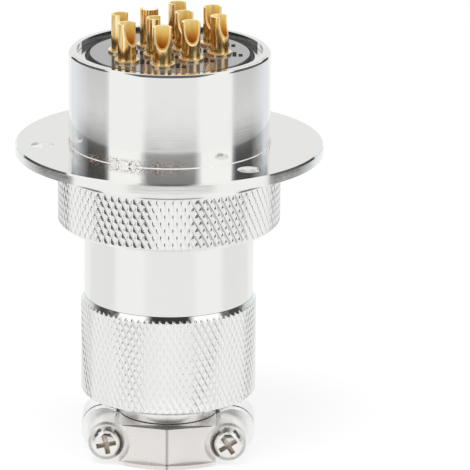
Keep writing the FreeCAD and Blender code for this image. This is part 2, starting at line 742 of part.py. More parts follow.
def clamp_half_front():
    body = new_body("clamp_half_front")
    parting = "Sizes.clamp_parting_gap / 2"
    reach = "Radii.clamp_block_radius"
    half = "Radii.clamp_half_width"
    corner = f"({reach} - {half} * tan(Sizes.clamp_front_slope))"
    height = "Sizes.clamp_block_height - Sizes.running_gap"
    level = "Levels.screw_level"
    facets = new_sketch(body, "facet_outline", "XY_Plane", "Levels.base")
    add_outline(facets, [
        (f"-{half}", f"-{parting}"),
        (f"-{half}", f"-{corner}"),
        ("0", f"-{reach}"),
        (half, f"-{corner}"),
        (half, f"-{parting}"),
    ])
    extrude(body, "block", "Pad", facets, height)
    # The lower edge carries a rounded lip that bulges past the ridge between the facets
    rise = f"({reach} + Sizes.clamp_lip_bulge - {corner})"
    lip = new_sketch(body, "lip_outline", "XY_Plane", "Levels.base")
    add_lip(lip, half, corner, f"({half} * {half} + {rise} * {rise}) / (2 * {rise})")
    extrude(body, "lip", "Pad", lip, "Sizes.clamp_lip_height")
    feet = new_sketch(body, "foot_outline", "XZ_Plane", parting)
    add_pair(feet, "Radii.clamp_ear_place", level, "Radii.clamp_ear_radius")
    extrude(body, "feet", "Pad", feet, "Sizes.clamp_ear_foot")
    bosses = new_sketch(body, "boss_outline", "XZ_Plane", parting)
    add_pair(bosses, "Radii.clamp_screw_place", level, "Radii.clamp_boss_radius")
    extrude(body, "bosses", "Pad", bosses, f"Sizes.clamp_screw_seat - {parting}")
    spots = new_sketch(body, "spot_face_outline", "XZ_Plane", "Sizes.clamp_screw_seat")
    add_pair(spots, "Radii.clamp_screw_place", level, "Radii.clamp_spot_face_radius")
    extrude(body, "spot_faces", "Pocket", spots, reach, True)
    bore = new_sketch(body, "bore_outline", "XY_Plane", "Levels.neck_bottom")
    add_circle(bore, "0", "0", "Sizes.cable_bore_radius")
    extrude(body, "bore", "Pocket", bore, "2 * Sizes.clamp_block_height")
    holes = new_sketch(body, "hole_outline", "XZ_Plane", "Sizes.clamp_screw_seat")
    add_pair(holes, "Radii.clamp_screw_place", level, "Radii.clamp_screw_hole_radius")
    extrude(body, "holes", "Pocket", holes, reach)
    return body


# Clamp screws, each made with its head upwards and then laid over so the head faces the viewer

def clamp_screw(name, side, turn):
    body = new_body(name)
    blank = revolve(body, [
        ("0", "-Sizes.screw_length"),
        ("Sizes.screw_radius - Sizes.screw_tip_chamfer", "-Sizes.screw_length"),
        ("Sizes.screw_radius", "Sizes.screw_tip_chamfer - Sizes.screw_length"),
        ("Sizes.screw_radius", "0"),
        ("Sizes.screw_head_radius", "0"),
        ("Sizes.screw_head_radius", "Sizes.screw_head_height"),
        ("0", "Sizes.screw_head_height"),
    ])
    head = value("Sizes.screw_head_height")
    rim = edges_on_circle(body.Shape, value("Sizes.screw_head_radius"), "z", head)
    dome = body.newObject("PartDesign::Fillet", f"{name}_dome")
    dome.Base = (blank, rim)
    dome.setExpression("Radius", "Sizes.screw_head_round")
    doc.recompute()
    near = "Sizes.screw_recess_width / 2"
    far = "Sizes.screw_recess_span / 2"
    recess = new_sketch(body, "recess_outline", "XY_Plane", "Sizes.screw_head_height")
    add_outline(recess, [
        (near, near),
        (far, near),
        (far, f"-{near}"),
        (near, f"-{near}"),
        (near, f"-{far}"),
        (f"-{near}", f"-{far}"),
        (f"-{near}", f"-{near}"),
        (f"-{far}", f"-{near}"),
        (f"-{far}", near),
        (f"-{near}", near),
        (f"-{near}", far),
        (near, far),
    ])
    extrude(body, "recess", "Pocket", recess, "Sizes.screw_recess_depth")
    spin = FreeCAD.Rotation(FreeCAD.Vector(0, 0, 1), value(turn))
    lay_over = FreeCAD.Rotation(FreeCAD.Vector(1, 0, 0), 90)
    body.Placement = FreeCAD.Placement(FreeCAD.Vector(0, 0, 0), lay_over * spin)
    body.setExpression(".Placement.Base.x", f"{side} * Radii.clamp_screw_place")
    body.setExpression(".Placement.Base.y", "-Sizes.clamp_screw_seat - Sizes.clamp_screw_seat_gap")
    body.setExpression(".Placement.Base.z", "Levels.screw_level")
    return body


def build():
    """Every piece of the connector."""
    made = [receptacle_shell(), receptacle_insulator()]
    made.append(plain_ring(
        "receptacle_locking_ring",
        "Radii.locking_ring_bore_radius",
        "Radii.locking_ring_radius",
        "Levels.insulator_shoulder",
        "Levels.insulator_shoulder + Sizes.locking_ring_height",
    ))
    made.append(plain_ring(
        "receptacle_gland_ring",
        "Radii.gland_ring_bore_radius",
        "Radii.gland_ring_radius",
        "Levels.insulator_shoulder",
        "Levels.insulator_shoulder + Sizes.gland_ring_height",
    ))
    made += [plug_barrel(), plug_insulator()]
    made.append(plain_ring(
        "plug_locking_ring",
        "Radii.plug_insulator_boss_radius + Sizes.insulator_fit",
        "Radii.rear_cavity_radius - Sizes.ring_fit",
        "Levels.plug_shoulder - Sizes.plug_locking_ring_height",
        "Levels.plug_shoulder",
    ))
    made.append(plain_ring(
        "mating_seal",
        "Radii.nose_radius + Sizes.ring_fit",
        "Radii.shoulder_radius - Sizes.ring_fit",
        "Levels.shoulder_top",
        "Levels.shoulder_top + Sizes.seal_thickness",
    ))
    made += contacts()
    made += [coupling_nut(), backshell(), clamp_half_rear(), clamp_half_front()]
    made.append(clamp_screw("clamp_screw_left", -1, "Sizes.clamp_screw_left_turn"))
    made.append(clamp_screw("clamp_screw_right", 1, "Sizes.clamp_screw_right_turn"))
    return made


pieces = build()
doc.recompute()

for item in doc.Objects:
    if "Invalid" in item.State or "Error" in item.State:
        raise RuntimeError(f"{item.Name} failed: {item.State}")

for piece in pieces:
    shape = piece.Shape
    if shape.isNull() or not shape.isValid() or len(shape.Solids) != 1:
        raise RuntimeError(f"{piece.Label} is not one valid solid")

os.makedirs("parts", exist_ok=True)
for piece in pieces:
    piece.Shape.exportStep(f"parts/{piece.Label}.step")
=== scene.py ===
import math

import bpy
from mathutils import Matrix, Vector


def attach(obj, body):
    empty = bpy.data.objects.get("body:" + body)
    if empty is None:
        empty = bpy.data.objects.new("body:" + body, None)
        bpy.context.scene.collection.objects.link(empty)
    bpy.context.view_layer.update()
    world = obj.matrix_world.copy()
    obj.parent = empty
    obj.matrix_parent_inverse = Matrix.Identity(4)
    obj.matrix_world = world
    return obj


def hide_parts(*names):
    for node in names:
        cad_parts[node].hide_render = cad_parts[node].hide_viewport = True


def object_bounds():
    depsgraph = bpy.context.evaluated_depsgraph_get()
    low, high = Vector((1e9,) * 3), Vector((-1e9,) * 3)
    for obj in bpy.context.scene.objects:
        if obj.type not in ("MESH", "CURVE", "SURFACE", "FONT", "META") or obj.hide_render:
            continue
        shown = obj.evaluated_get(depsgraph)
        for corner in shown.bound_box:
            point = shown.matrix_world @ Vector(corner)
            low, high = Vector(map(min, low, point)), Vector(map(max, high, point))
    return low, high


# A mated pair of circular panel connectors. Z runs up the axis and the viewer stands at -Y.
# Sizes and places are named in millimetres, and go into the scene in metres.

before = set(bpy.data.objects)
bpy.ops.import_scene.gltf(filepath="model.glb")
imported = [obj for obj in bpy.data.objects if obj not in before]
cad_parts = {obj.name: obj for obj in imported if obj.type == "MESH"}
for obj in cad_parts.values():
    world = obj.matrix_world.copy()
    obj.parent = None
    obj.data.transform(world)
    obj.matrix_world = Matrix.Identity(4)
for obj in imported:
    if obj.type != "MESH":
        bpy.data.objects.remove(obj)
cad_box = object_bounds()

MM = 0.001
BASE = cad_box[0][2] / MM
CONTACTS = 10

# Camera, as read from the circles of the photographed rims
VIEW_DOWN = math.radians(17.2)
VIEW_ROLL = math.radians(0.55)
VIEW_DISTANCE = 679 * MM
VIEW_AIM = Vector((9.9 * MM, 0, -14.6 * MM))
NEAREST_SEEN = 10 * MM
FURTHEST_SEEN = 20000 * MM
VIEW_LENS = 346.9
VIEW_SENSOR = 36


def add_camera():
    data = bpy.data.cameras.new("camera")
    data.lens = VIEW_LENS
    data.sensor_width = VIEW_SENSOR
    data.clip_start = NEAREST_SEEN
    data.clip_end = FURTHEST_SEEN
    camera = bpy.data.objects.new("camera", data)
    bpy.context.scene.collection.objects.link(camera)
    back = Vector((0, -math.cos(VIEW_DOWN), math.sin(VIEW_DOWN)))
    turn = Matrix.Rotation(math.pi / 2 - VIEW_DOWN, 4, "X") @ Matrix.Rotation(VIEW_ROLL, 4, "Z")
    camera.matrix_world = Matrix.Translation(VIEW_AIM + back * VIEW_DISTANCE) @ turn
    bpy.context.scene.camera = camera


# Shader nodes

class Nodes:
    """Adds and joins shader nodes in one tree."""

    def __init__(self, tree):
        self.tree = tree
        tree.nodes.clear()

    def add(self, kind, inputs=None, **settings):
        node = self.tree.nodes.new(kind)
        for name, setting in settings.items():
            setattr(node, name, setting)
        for key, source in (inputs or {}).items():
            if isinstance(source, bpy.types.NodeSocket):
                self.tree.links.new(source, node.inputs[key])
            else:
                node.inputs[key].default_value = source
        return node

    def math(self, operation, first, second=0.0, clamp=False):
        node = self.add("ShaderNodeMath", {0: first, 1: second}, operation=operation, use_clamp=clamp)
        return node.outputs[0]

    def vector(self, operation, first, second=(0, 0, 0)):
        node = self.add("ShaderNodeVectorMath", {0: first, 1: second}, operation=operation)
        return node.outputs["Vector"]

    def measure(self, operation, first, second=(0, 0, 0)):
        """A length or a dot product."""
        node = self.add("ShaderNodeVectorMath", {0: first, 1: second}, operation=operation)
        return node.outputs["Value"]

    def mix_shaders(self, share, first, second):
        inputs = {0: share, 1: first.outputs[0], 2: second.outputs[0]}
        return self.add("ShaderNodeMixShader", inputs)

    def mix_colours(self, share, first, second):
        node = self.add("ShaderNodeMixRGB", {"Fac": share, "Color1": first, "Color2": second})
        return node.outputs["Color"]

    def ramp(self, factor, stops):
        """A colour ramp, each stop a position and a grey level or a colour."""
        node = self.add("ShaderNodeValToRGB", {"Fac": factor})
        elements = node.color_ramp.elements
        while len(elements) > 1:
            elements.remove(elements[-1])
        for number, (position, colour) in enumerate(stops):
            element = elements[0] if number == 0 else elements.new(position)
            element.position = position
            shade = (colour, colour, colour) if isinstance(colour, float) else colour
            element.color = (*shade, 1)
        return node.outputs["Color"]

    def noise(self, vector, scale, detail=2.0, roughness=0.5):
        inputs = {"Vector": vector, "Scale": scale, "Detail": detail, "Roughness": roughness}
        return self.add("ShaderNodeTexNoise", inputs).outputs["Fac"]

    def stretched(self, vector, scale):
        """The vector with each axis scaled."""
        return self.add("ShaderNodeMapping", {"Vector": vector, "Scale": scale}).outputs["Vector"]


def new_material(name):
    material = bpy.data.materials.new(name)
    material.use_nodes = True
    return material, Nodes(material.node_tree)


def finish_material(nodes, shader):
    nodes.add("ShaderNodeOutputMaterial", {"Surface": shader.outputs[0]})


def sees_background(nodes):
    """1 for camera, glossy and transmission rays, which meet the white background as it looks."""
    light_path = nodes.add("ShaderNodeLightPath")
    seen = nodes.math(
        "MAXIMUM", light_path.outputs["Is Camera Ray"], light_path.outputs["Is Glossy Ray"]
    )
    return nodes.math("MAXIMUM", seen, light_path.outputs["Is Transmission Ray"])


def mesh_object(name, points, faces, material):
    """A linked object of one material, from points in millimetres."""
    mesh = bpy.data.meshes.new(name)
    mesh.from_pydata([[c * MM for c in point] for point in points], [], faces)
    mesh.materials.append(material)
    piece = bpy.data.objects.new(name, mesh)
    bpy.context.scene.collection.objects.link(piece)
    return piece


# Stage: world, floor, lamps, and the cards of light and shade that give plated metal its bands

AMBIENT = 0.75
WHITE = (1.0, 1.0, 1.0)
FLOOR_GREY = (0.9, 0.9, 0.9)
FLOOR_REACH = 4000
FLOOR_SHADOW_SHARE = 0.3


def add_world():
    world = bpy.data.worlds.new("world")
    world.use_nodes = True
    bpy.context.scene.world = world
    nodes = Nodes(world.node_tree)
    ambient = nodes.add("ShaderNodeBackground", {"Color": (*WHITE, 1), "Strength": AMBIENT})
    white = nodes.add("ShaderNodeBackground", {"Color": (*WHITE, 1), "Strength": 1.0})
    mix = nodes.mix_shaders(sees_background(nodes), ambient, white)
    nodes.add("ShaderNodeOutputWorld", {"Surface": mix.outputs[0]})


def add_floor():
    material, nodes = new_material("floor_white")
    matte = nodes.add("ShaderNodeBsdfDiffuse", {"Color": (*FLOOR_GREY, 1)})
    white = nodes.add("ShaderNodeEmission", {"Color": (*WHITE, 1), "Strength": 1.0})
    share = nodes.math("MULTIPLY", sees_background(nodes), 1 - FLOOR_SHADOW_SHARE)
    finish_material(nodes, nodes.mix_shaders(share, matte, white))
    corners = [(x * FLOOR_REACH, y * FLOOR_REACH, BASE) for x, y in ((-1, -1), (1, -1), (1, 1), (-1, 1))]
    mesh_object("floor", corners, [(0, 1, 2, 3)], material)


LAMP_AIM = (0, 0, -10)
LAMPS = {
    "lamp_top": {"place": (-150, -250, 600), "size": 500, "energy": 3.0},
    "lamp_right": {"place": (500, -300, 350), "size": 400, "energy": 1.5},
}


def add_lamp(name, place, size, energy):
    """A soft round lamp that reflections and the camera don't see. Its energy is in watts."""
    data = bpy.data.lights.new(name, "AREA")
    data.shape = "DISK"
    data.size = size * MM
    data.energy = energy
    lamp = bpy.data.objects.new(name, data)
    lamp.location = Vector(place) * MM
    lamp.rotation_euler = (Vector(LAMP_AIM) - Vector(place)).to_track_quat("-Z", "Y").to_euler()
    lamp.visible_camera = False
    lamp.visible_glossy = False
    bpy.context.scene.collection.objects.link(lamp)


def level_at(stops, at):
    """The value at a place, from (place, value) stops listed upwards."""
    for (low, first), (high, second) in zip(stops, stops[1:]):
        if at <= high:
            share = max(0.0, (at - low) / (high - low))
            return first + (second - first) * share
    return stops[-1][1]


def card_material():
    material, nodes = new_material("card_glow")
    glow = nodes.add("ShaderNodeAttribute", attribute_name="glow").outputs["Color"]
    finish_material(nodes, nodes.add("ShaderNodeEmission", {"Color": glow, "Strength": 1.0}))
    return material


def add_card(name, across, along, place, colour):
    """A sheet that only reflections see, with a place and a glow worked out for each corner."""
    corners = [(first, second) for first in across for second in along]
    width = len(along)
    faces = [
        (row * width + n, row * width + n + 1, (row + 1) * width + n + 1, (row + 1) * width + n)
        for row in range(len(across) - 1) for n in range(width - 1)
    ]
    card = mesh_object(name, [place(*corner) for corner in corners], faces, CARD_GLOW)
    glows = [channel for corner in corners for channel in (*colour(*corner), 1)]
    card.data.attributes.new("glow", "FLOAT_COLOR", "POINT").data.foreach_set("color", glows)
    card.visible_camera = False
    card.visible_diffuse = False
    card.visible_shadow = False
    card.visible_transmission = False


CARD_GLOW = card_material()
CARD_REACH = 150
CARD_COLUMNS = 32
TABLE_CARD_LEVEL = BASE + 0.2
TABLE_CARD_START = 24
TABLE_CARD_END = 300
TABLE_CARD_COLUMNS = 180
CEILING_LEVEL = 200
CEILING_COLUMNS = 72
COOL_EDGE = (0.83, 0.86, 0.9)
# Grey against height in millimetres, for the cards that stand round the object
SIDE_GLOW = [
    (-42, 0.1), (-37, 0.24), (-36.3, 0.35), (-35.6, 0.47), (-34.8, 0.56), (-34.1, 0.64), (-33.3, 0.71),
    (-31.8, 0.74), (-30.3, 0.73), (-25, 0.64), (-5, 0.6), (1, 0.58), (4, 0.07), (30, 0.07), (33, 0.22),
    (36.4, 0.26), (37.1, 0.19), (37.9, 0.09), (38.6, 0.03), (41.2, 0.08), (42, 0.07), (46, 0.07),
]
RIM_GLOW = [(46, 0.07), (85, 0.08)]
HIGH_GLOW = [(85, 0.12), (200, 0.12)]
FRONT_GLOW = [
    (-42, 1.0), (-38.9, 1.0), (-37.9, 0.42), (-36.6, 0.28), (-35.9, 0.48), (-35.1, 0.7), (-34.4, 0.79),
    (-33.6, 0.84), (-31.4, 0.885), (-29.9, 0.897), (-12, 0.897), (-2, 0.11), (31, 0.11), (34, 0.6),
    (36.6, 0.6), (37.35, 0.42), (38.1, 0.02), (38.9, 0.12), (40.2, 0.72), (40.9, 0.68), (41.5, 0.38),
    (43, 0.1), (60, 0.045), (160, 0.045),
]
GAP_GLOW = [(33, 1.14), (200, 1.14)]
BACK_GLOW = [(15, 0.87), (100, 0.87)]
# Grey against angle in degrees, on the table
TABLE_GLOW = [
    (-180, 0.95), (-134, 0.95), (-122, 0.87), (-77, 0.86), (-69, 0.98), (-33, 0.98), (-26, 0.91),
    (31, 0.91), (38, 0.98), (70, 0.98), (78, 0.86), (124, 0.87), (136, 0.95), (180, 0.95),
]
# Grey against distance from the axis in millimetres, on the ceiling
CEILING_GLOW = [(0, 0.13), (88, 0.13), (94, 1.0)]
# Share of the tint against the place along a card, from its start at 0 to its end at 1.
# A share over 1 goes past the tint
FADE_OUTWARD = [(0, 1.1), (0.025, 0.4), (0.08, 0), (0.4, 0), (0.66, 0.6), (0.8, 1), (1, 1)]
FADE_AT_BOTH_ENDS = [(0, 1), (0.12, 0), (0.88, 0), (1, 1)]
NO_FADE = [(0, 0), (1, 0)]
# Start and end angle in degrees, glow, fade and tint. Angle 0 is the viewer's side, 90 the right
WALL_CARDS = {
    "side_card_right": (73, 150, SIDE_GLOW, FADE_OUTWARD, COOL_EDGE),
    "side_card_left": (-68.5, -146, SIDE_GLOW, FADE_OUTWARD, COOL_EDGE),
    "rim_card_right": (73, 150, RIM_GLOW, NO_FADE, WHITE),
    "rim_card_left": (-68.5, -146, RIM_GLOW, NO_FADE, WHITE),
    "high_card_right": (98, 140, HIGH_GLOW, NO_FADE, WHITE),
    "high_card_left": (-98, -140, HIGH_GLOW, NO_FADE, WHITE),
    "front_card": (-31, 36, FRONT_GLOW, FADE_AT_BOTH_ENDS, WHITE),
    "gap_card_right": (36, 73, GAP_GLOW, NO_FADE, WHITE),
    "gap_card_left": (-68.5, -31, GAP_GLOW, NO_FADE, WHITE),
    "back_card": (152, 212, BACK_GLOW, NO_FADE, WHITE),
}


def steps(start, end, count):
    return [start + (end - start) * number / count for number in range(count + 1)]


def round_axis(angle, reach, height):
    """The place at an angle in degrees round the axis and a distance from it."""
    turn = math.radians(angle)
    return reach * math.sin(turn), -reach * math.cos(turn), height


def wall_colour(glow, start, end, fade, tint):
    """A colour function: grey by height, blending into a tint along the card as fade tells."""
    def colour(angle, height):
        grey = level_at(glow, height)
        share = level_at(fade, (angle - start) / (end - start))
        return [grey + (c - grey) * share for c in tint]
    return colour


def add_cards():
    for name, (start, end, glow, fade, tint) in WALL_CARDS.items():
        add_card(
            name, steps(start, end, CARD_COLUMNS), [height for height, _ in glow],
            lambda angle, height: round_axis(angle, CARD_REACH, height),
            wall_colour(glow, start, end, fade, tint),
        )
    add_card(
        "table_card", steps(-180, 180, TABLE_CARD_COLUMNS), [TABLE_CARD_START, TABLE_CARD_END],
        lambda angle, reach: round_axis(angle, reach, TABLE_CARD_LEVEL),
        lambda angle, reach: [level_at(TABLE_GLOW, angle)] * 3,
    )
    add_card(
        "ceiling_card", steps(-180, 180, CEILING_COLUMNS), [reach for reach, _ in CEILING_GLOW],
        lambda angle, reach: round_axis(angle, reach, CEILING_LEVEL),
        lambda angle, reach: [level_at(CEILING_GLOW, reach)] * 3,
    )


# Materials

def surface_point(nodes):
    return nodes.add("ShaderNodeTexCoord").outputs["Object"]


def bump(nodes, height, strength, distance, normal=None):
    inputs = {"Height": height, "Strength": strength, "Distance": distance}
    if normal:
        inputs["Normal"] = normal
    return nodes.add("ShaderNodeBump", inputs).outputs["Normal"]


def split_point(nodes, point):
    """The point's own x, y, z and its distance from the axis."""
    x, y, z = nodes.add("ShaderNodeSeparateXYZ", {"Vector": point}).outputs
    return x, y, z, nodes.measure("LENGTH", nodes.vector("MULTIPLY", point, (1, 1, 0)))


def between(nodes, value, low, high):
    above = nodes.math("GREATER_THAN", value, low)
    return nodes.math("MULTIPLY", above, nodes.math("LESS_THAN", value, high))


PLATING = (0.875, 0.875, 0.86)
TURNING_LINES = (60, 60, 9000)
POLISH_CLOUDS = 420.0
# Outside radius, bottom, top and pitch of each fine thread
RECEPTACLE_THREAD = (14.0, -9.2, -3.0, 1.5)
BARREL_THREAD = (12.1, -30.9, -24.2, 1.0)
THREAD_DEPTH = 0.3
THREAD_MARGIN = 0.1


def thread_normal(nodes, point, thread, normal):
    """The normal of a screw thread cut on the outside."""
    radius, bottom, top, pitch = thread
    x, y, z, reach = split_point(nodes, point)
    turn = nodes.math("DIVIDE", nodes.math("ARCTAN2", y, x), 2 * math.pi)
    phase = nodes.math("ADD", nodes.math("DIVIDE", z, pitch * MM), turn)
    flank = nodes.math("PINGPONG", phase, 0.5)
    inside = nodes.math(
        "MULTIPLY",
        between(nodes, z, bottom * MM, top * MM),
        between(nodes, reach, (radius - THREAD_DEPTH) * MM, (radius + THREAD_MARGIN) * MM),
    )
    return bump(nodes, nodes.math("MULTIPLY", flank, inside), 1.0, pitch * MM, normal)


def turned_normal(nodes, point, line_strength, thread=None):
    """The normal of lathe-turned metal: fine rings round the axis, and a thread where one is given."""
    rings = nodes.noise(nodes.stretched(point, TURNING_LINES), 1.0, 3.0, 0.6)
    normal = bump(nodes, rings, line_strength, 0.02 * MM)
    if thread:
        normal = thread_normal(nodes, point, thread, normal)
    return normal


def plated_shader(nodes, point, roughness, normal):
    """Bright plating with a slightly uneven polish."""
    cloud = nodes.noise(point, POLISH_CLOUDS, 2.0)
    polish = nodes.ramp(cloud, [(0.3, roughness * 0.75), (0.7, roughness * 1.3)])
    return nodes.add("ShaderNodeBsdfPrincipled", {
        "Base Color": (*PLATING, 1), "Metallic": 1.0, "Roughness": polish, "Normal": normal,
    })


def turned_metal(name, roughness, line_strength, thread=None):
    material, nodes = new_material(name)
    point = surface_point(nodes)
    normal = turned_normal(nodes, point, line_strength, thread)
    finish_material(nodes, plated_shader(nodes, point, roughness, normal))
    return material


CORNER_RADIUS = 15.0
RIM_TOP = 14.1
RIM_CHAMFER = 0.4
# Clearance that keeps a painted zone off the neighbouring face
SEAM = 0.01
# How far the dirt climbs, how much faster it thins out on the flange, and the scales of its noises
DIRT_REACH = 1.4
DIRT_FLANGE_FADE = 5.0
DIRT_GRAINS = 5200.0
DIRT_CLUMPS = 230.0
DIRT_TONES = 3000.0
# Share of dirt against the place from the shell's left, at 0, to its right, at 1
DIRT_SIDES = [(0.58, 1.0), (0.66, 0.0), (0.9, 0.0), (0.94, 1.0)]


def rounded_rim(nodes, point, normal):
    """The normal with the shell's rim chamfer turning smoothly into its flat top."""
    _, _, z, radius = split_point(nodes, point)
    foot = RIM_TOP - RIM_CHAMFER
    rise = nodes.math("DIVIDE", nodes.math("SUBTRACT", z, foot * MM), RIM_CHAMFER * MM)
    lean = nodes.math("SUBTRACT", 1.0, nodes.math("MULTIPLY", rise, rise))
    flat = nodes.vector("MULTIPLY", point, (1, 1, 0))
    outward = {0: flat, "Scale": nodes.math("DIVIDE", lean, radius)}
    side = nodes.add("ShaderNodeVectorMath", outward, operation="SCALE").outputs["Vector"]
    turned = nodes.vector("NORMALIZE", nodes.vector("ADD", side, (0, 0, 1)))
    on_chamfer = nodes.math(
        "MULTIPLY",
        between(nodes, z, (foot + SEAM / 2) * MM, RIM_TOP * MM),
        nodes.math("GREATER_THAN", radius, (CORNER_RADIUS - RIM_CHAMFER + SEAM) * MM),
    )
    return nodes.mix_colours(on_chamfer, normal, turned)


def dirt_share(nodes, point):
    """1 on a speck of dirt in the corner between the shell and its flange, mostly to the left."""
    x, _, z, radius = split_point(nodes, point)
    rise = nodes.math("MAXIMUM", z, 0.0)
    width = nodes.math("ABSOLUTE", nodes.math("SUBTRACT", radius, CORNER_RADIUS * MM))
    distance = nodes.math("ADD", rise, nodes.math("MULTIPLY", width, DIRT_FLANGE_FADE))
    near = nodes.math("SUBTRACT", 1.0, nodes.math("DIVIDE", distance, DIRT_REACH * MM), clamp=True)
    close = nodes.ramp(near, [(0.1, 0.0), (0.5, 1.0)])
    grains = nodes.ramp(nodes.noise(point, DIRT_GRAINS, 2.0, 0.6), [(0.53, 0.0), (0.57, 1.0)])
    clumps = nodes.ramp(nodes.noise(point, DIRT_CLUMPS, 2.0), [(0.44, 0.0), (0.5, 1.0)])
    aside = nodes.math("ADD", nodes.math("DIVIDE", x, 2 * CORNER_RADIUS * MM), 0.5)
    patches = nodes.math("MULTIPLY", clumps, nodes.ramp(aside, DIRT_SIDES))
    return nodes.math("MULTIPLY", nodes.math("MULTIPLY", close, patches), grains)


def shell_metal():
    """Turned metal with a rounded rim, and copper-brown specks in the corner of the flange."""
    material, nodes = new_material("shell_metal")
    point = surface_point(nodes)
    normal = rounded_rim(nodes, point, turned_normal(nodes, point, 0.1, RECEPTACLE_THREAD))
    shader = plated_shader(nodes, point, 0.085, normal)
    tones = [(0.38, (0.04, 0.025, 0.02)), (0.5, (0.3, 0.17, 0.11)), (0.62, (0.62, 0.46, 0.36))]
    rust = nodes.ramp(nodes.noise(point, DIRT_TONES), tones)
    dirt = nodes.add("ShaderNodeBsdfPrincipled", {"Base Color": rust, "Roughness": 0.6})
    finish_material(nodes, nodes.mix_shaders(dirt_share(nodes, point), shader, dirt))
    return material


# Clamp screws, seen along +Y
SCREW_PLACE = 9.15
SCREW_LEVEL = -45.1
SCREW_FACE = -8.55
SCREW_HEAD_RADIUS = 2.72
SCREW_DOME_TILT = math.radians(34)
SCREW_RECESS_REACH = 1.75
SCREW_RECESS_START = 0.06
SCREW_RECESS_DEPTH = 1.3


def screw_metal():
    """Polished heads with a slight dome, and brownish grey grime and painted shade in the cross recess."""
    material, nodes = new_material("screw_metal")
    point = surface_point(nodes)
    x, y, z, _ = split_point(nodes, point)
    aside = nodes.math("SUBTRACT", nodes.math("ABSOLUTE", x), SCREW_PLACE * MM)
    above = nodes.math("SUBTRACT", z, SCREW_LEVEL * MM)
    square = nodes.math(
        "ADD", nodes.math("MULTIPLY", aside, aside), nodes.math("MULTIPLY", above, above)
    )
    fall = math.tan(SCREW_DOME_TILT) / (2 * SCREW_HEAD_RADIUS * MM)
    dome = bump(nodes, nodes.math("MULTIPLY", square, -fall), 1.0, 1.0)
    depth = nodes.math("SUBTRACT", y, SCREW_FACE * MM)
    sunk = nodes.math(
        "MULTIPLY",
        between(nodes, depth, SCREW_RECESS_START * MM, SCREW_RECESS_DEPTH * MM),
        nodes.math("LESS_THAN", square, (SCREW_RECESS_REACH * MM) ** 2),
    )
    polish = nodes.ramp(nodes.noise(point, 900.0, 3.0), [(0.3, 0.1), (0.7, 0.2)])
    head = nodes.add("ShaderNodeBsdfPrincipled", {
        "Base Color": (0.84, 0.82, 0.79, 1), "Metallic": 1.0, "Roughness": polish, "Normal": dome,
    })
    # Grime and painted shade: the cross recess is brownish and darker, standing in for the shade in its
    # depth
    tones = [(0.35, (0.38, 0.33, 0.28)), (0.65, (0.78, 0.7, 0.63))]
    grime_and_shade = nodes.ramp(nodes.noise(point, 2600.0, 3.0), tones)
    recess = nodes.add("ShaderNodeBsdfPrincipled", {
        "Base Color": grime_and_shade, "Metallic": 0.6, "Roughness": 0.42,
    })
    finish_material(nodes, nodes.mix_shaders(sunk, head, recess))
    return material


# The clamp: how far forward its painted shade lines start, its block's top, and where its ears start aside
CLAMP_SHADE_FRONT = -8.0
CLAMP_BLOCK_TOP = -42.05
CLAMP_EAR_START = 6.6
# Width and strength of the painted shade down the ridge, and width of the painted shade along the block's
# upper edge, where shade falls in the crease
CLAMP_RIDGE_SHADE_WIDTH = 0.3
CLAMP_RIDGE_SHADE_SHARE = 0.7
CLAMP_EDGE_SHADE_WIDTH = 0.2
CLAMP_EDGE_SHADE_TOP = CLAMP_BLOCK_TOP + 2 * SEAM
CLAMP_NECK_START = CLAMP_BLOCK_TOP + 0.1
CLAMP_NECK = (0.96, 0.96, 0.95)
CLAMP_NECK_ROUGHNESS = (0.26, 0.26, 0.26)


def node_middle(node):
    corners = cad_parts[node].bound_box
    return Vector(sum(corner[axis] for corner in corners) / 8 for axis in range(3))


def contact_reach(nodes, point):
    """Distance from the axis of the nearest contact. The contacts stand on a slanting lattice."""
    origin = node_middle("contact_pin_05")
    along = node_middle("contact_pin_06") - origin
    across = node_middle("contact_pin_09") - origin
    area = along.x * across.y - along.y * across.x
    flat = nodes.vector("MULTIPLY", nodes.vector("SUBTRACT", point, origin), (1, 1, 0))
    offset = flat
    for step, share in (
        (along, (across.y / area, -across.x / area, 0)),
        (across, (-along.y / area, along.x / area, 0)),
    ):
        count = nodes.math("ROUND", nodes.measure("DOT_PRODUCT", flat, share))
        jump = nodes.add("ShaderNodeVectorMath", {0: step, "Scale": count}, operation="SCALE")
        offset = nodes.vector("SUBTRACT", offset, jump.outputs["Vector"])
    return nodes.measure("LENGTH", offset)


# Radii and heights of the solder cups, and of the painted highlight band on the collars at their feet
CUP_RIM = 1.23
CUP_OUTSIDE = 1.375
CUP_FOOT = 14.3
COLLAR_HIGHLIGHT_EDGE = 1.5
COLLAR_HIGHLIGHT_FOOT = 13.78
COLLAR_HIGHLIGHT_TOP = 14.0
CUP_FLOOR = 15.35
CUP_TOP = 19.35
GOLD_STREAKS = [(0.34, (0.62, 0.24, 0.05)), (0.48, (1.0, 0.61, 0.19)), (0.6, (1.0, 0.87, 0.48))]
# Painted shade inside a cup: colour against height, from its floor to its rim, browner and darker towards
# the floor
CUP_PAINTED_SHADE = [
    (0.0, (0.46, 0.17, 0.02)), (0.3, (0.92, 0.45, 0.07)), (0.65, (1.0, 0.74, 0.22)), (1.0, (1.0, 0.86, 0.4)),
]


